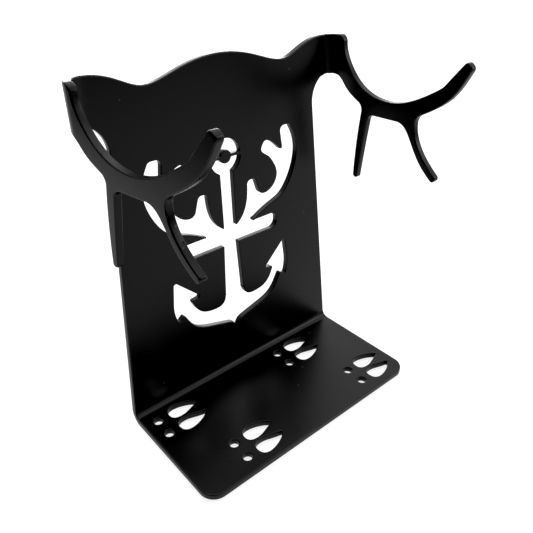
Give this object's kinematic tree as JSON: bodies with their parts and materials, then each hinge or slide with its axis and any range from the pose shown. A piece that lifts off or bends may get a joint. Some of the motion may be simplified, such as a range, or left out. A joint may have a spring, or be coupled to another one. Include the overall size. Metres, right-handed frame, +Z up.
{
  "type": "razor stand",
  "caption": "Free-standing razor stand folded from one black powder-coated steel sheet: base, upright back with a cut-out, and antler-shaped cradle arms, on rubber feet.",
  "frame": {"origin": "on the surface the stand rests on, under the middle of its bounding box", "axes": "+X the stand's right seen from the front, +Y its back, +Z up"},
  "size_m": [0.1176, 0.0718, 0.1399],
  "materials": {
    "powder_coat": "satin black powder coat with a fine grain",
    "rubber": "matte"
  },
  "bodies": {
    "root": {"folded_sheet": "powder_coat", "foot_rear_left": "rubber", "foot_rear_right": "rubber", "foot_front_left": "rubber", "foot_front_right": "rubber"}
  },
  "joints": []
}
